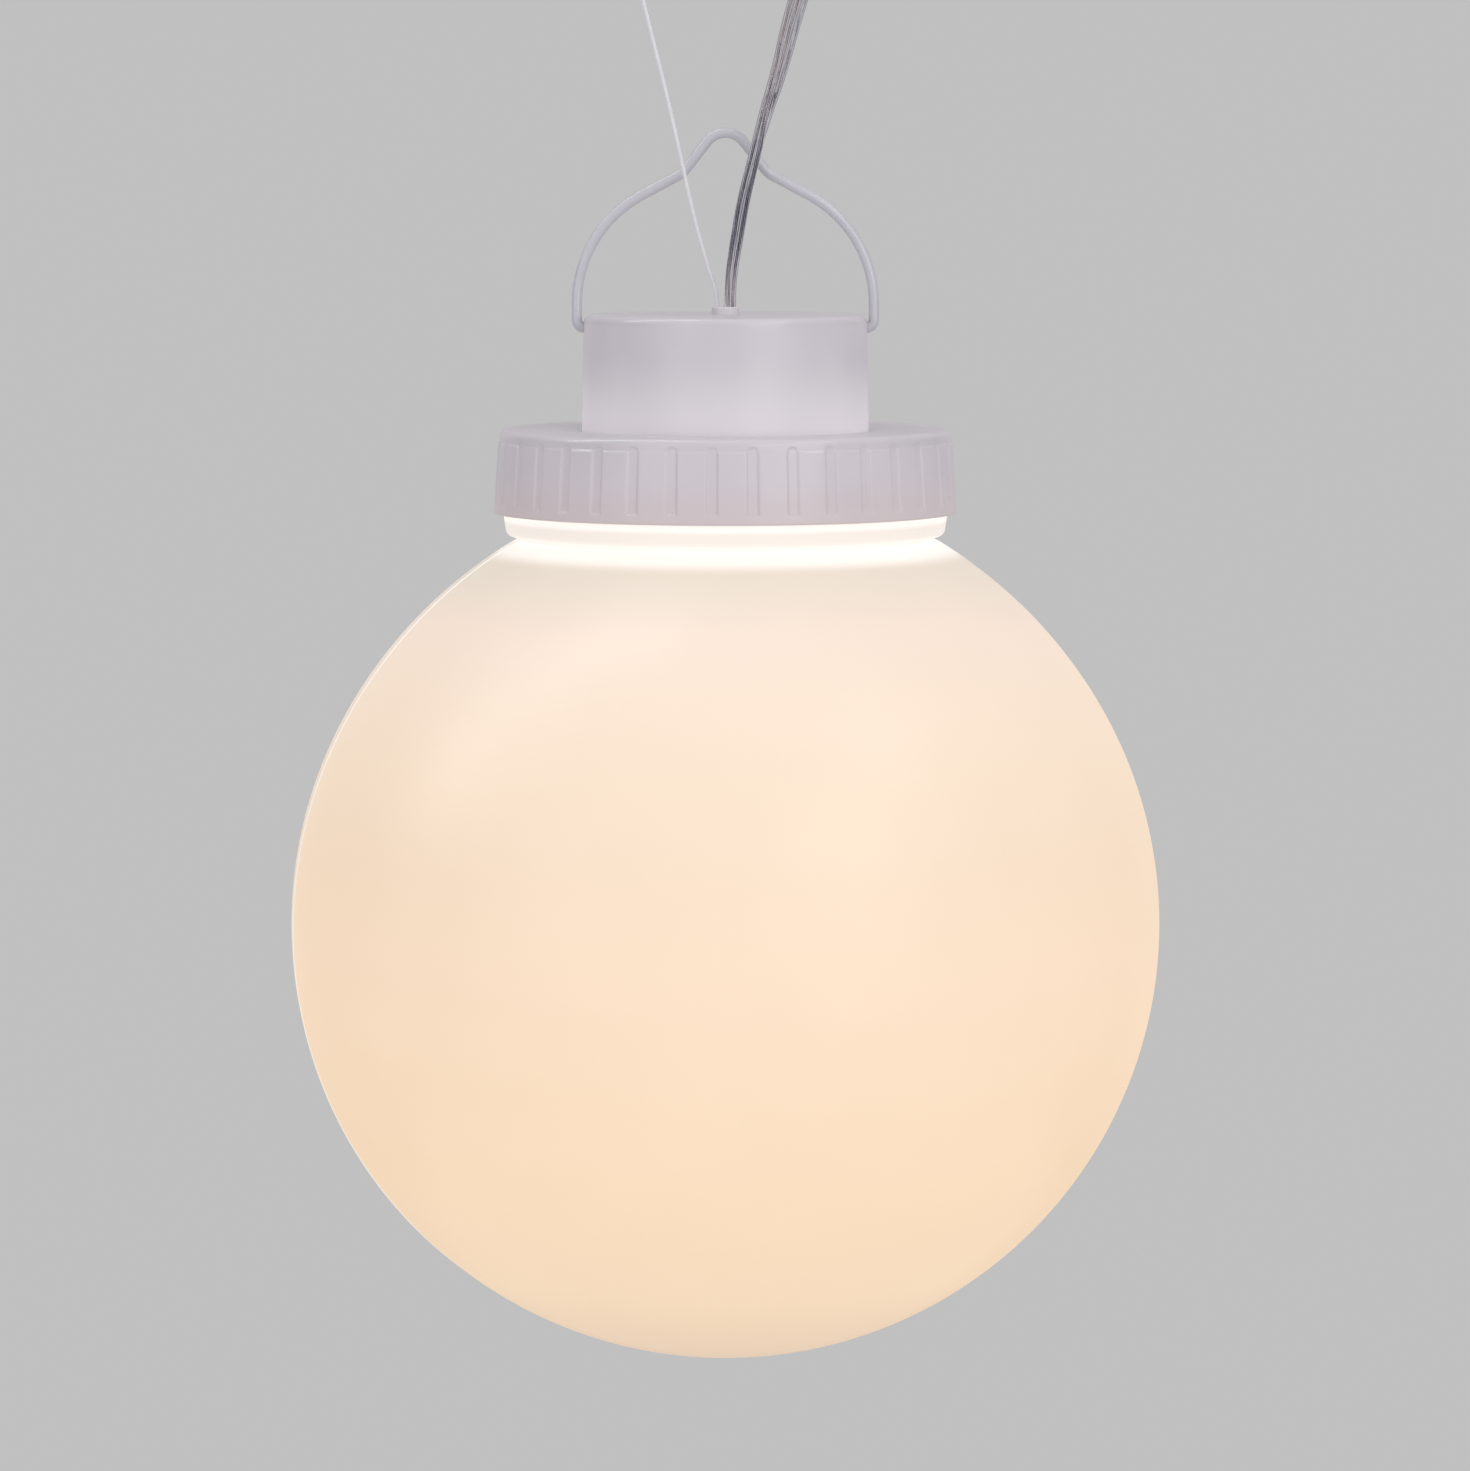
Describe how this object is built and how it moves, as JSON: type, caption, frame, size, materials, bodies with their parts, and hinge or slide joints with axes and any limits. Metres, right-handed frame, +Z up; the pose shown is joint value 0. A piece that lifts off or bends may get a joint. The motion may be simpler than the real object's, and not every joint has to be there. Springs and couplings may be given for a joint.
{
  "type": "garden globe light",
  "caption": "Hanging garden globe light: opal plastic globe held by a ribbed screw ring under a round lamp head, on a folding wire bail with a clear cable.",
  "frame": {"origin": "hang point: underside of the bail's crest, where a hook bears", "axes": "+Z up along the lamp's axis, front towards -Y, bail pivot line along X"},
  "size_m": [0.2, 0.2, 0.3522],
  "materials": {
    "bail_enamel": "gloss",
    "housing_plastic": "satin",
    "ring_plastic": "satin",
    "opal_plastic": "satin",
    "gland_plastic": "satin",
    "clear_pvc": "gloss",
    "cord_fibre": "matte",
    "connector_plastic": "satin",
    "plate_aluminium": "satin",
    "led_board_mask": "satin",
    "led_phosphor": "gloss",
    "board_green": "gloss",
    "screw_steel": "satin",
    "standoff_brass": "satin",
    "capacitor_sleeve": "gloss",
    "ferrite": "matte",
    "chip_resin": "matte",
    "block_plastic": "satin",
    "nut_plastic": "satin",
    "tie_nylon": "satin",
    "seal_rubber": "matte",
    "lead_red": "satin",
    "lead_black": "satin"
  },
  "bodies": {
    "hanger": {"bail": "bail_enamel"},
    "lamp": {"cap_housing": "housing_plastic", "sealing_ring": "seal_rubber", "heat_plate": "plate_aluminium", "led_board": "led_board_mask", "led_chips": "led_phosphor", "board_screws": "screw_steel", "standoffs": "standoff_brass", "driver_board": "board_green", "driver_screws": "screw_steel", "capacitor": "capacitor_sleeve", "inductor": "ferrite", "rectifier": "chip_resin", "controller_chip": "chip_resin", "terminal_block": "block_plastic", "supply_cores": "clear_pvc", "led_lead_red": "lead_red", "led_lead_black": "lead_black", "cable_gland": "gland_plastic", "gland_nut": "nut_plastic", "cable_tail": "clear_pvc", "cable_tie": "tie_nylon", "cord_tail": "cord_fibre", "cord_knot": "cord_fibre", "clear_cable": "clear_pvc", "cable_connector": "connector_plastic", "hang_cord": "cord_fibre", "cord_loop": "cord_fibre"},
    "ring": {"collar": "ring_plastic"},
    "shade": {"globe": "opal_plastic"}
  },
  "joints": [
    {"name": "bail_swing", "type": "hinge", "parent": "hanger", "child": "lamp", "pos_m": [0, 0, -0.04328], "axis": [1, 0, 0], "range_deg": [0, 108]},
    {"name": "ring_turn", "type": "hinge", "parent": "lamp", "child": "ring", "pos_m": [0, 0, -0.075], "axis": [0, 0, 1], "range_deg": [0, 900]},
    {"name": "globe_drop", "type": "slide", "parent": "lamp", "child": "shade", "axis": [0, 0, -1], "range_m": [0, 0.0125]}
  ],
  "couplings": [
    {"joint": "globe_drop", "follows": "ring_turn", "m_per_rad": 0.00079577}
  ]
}
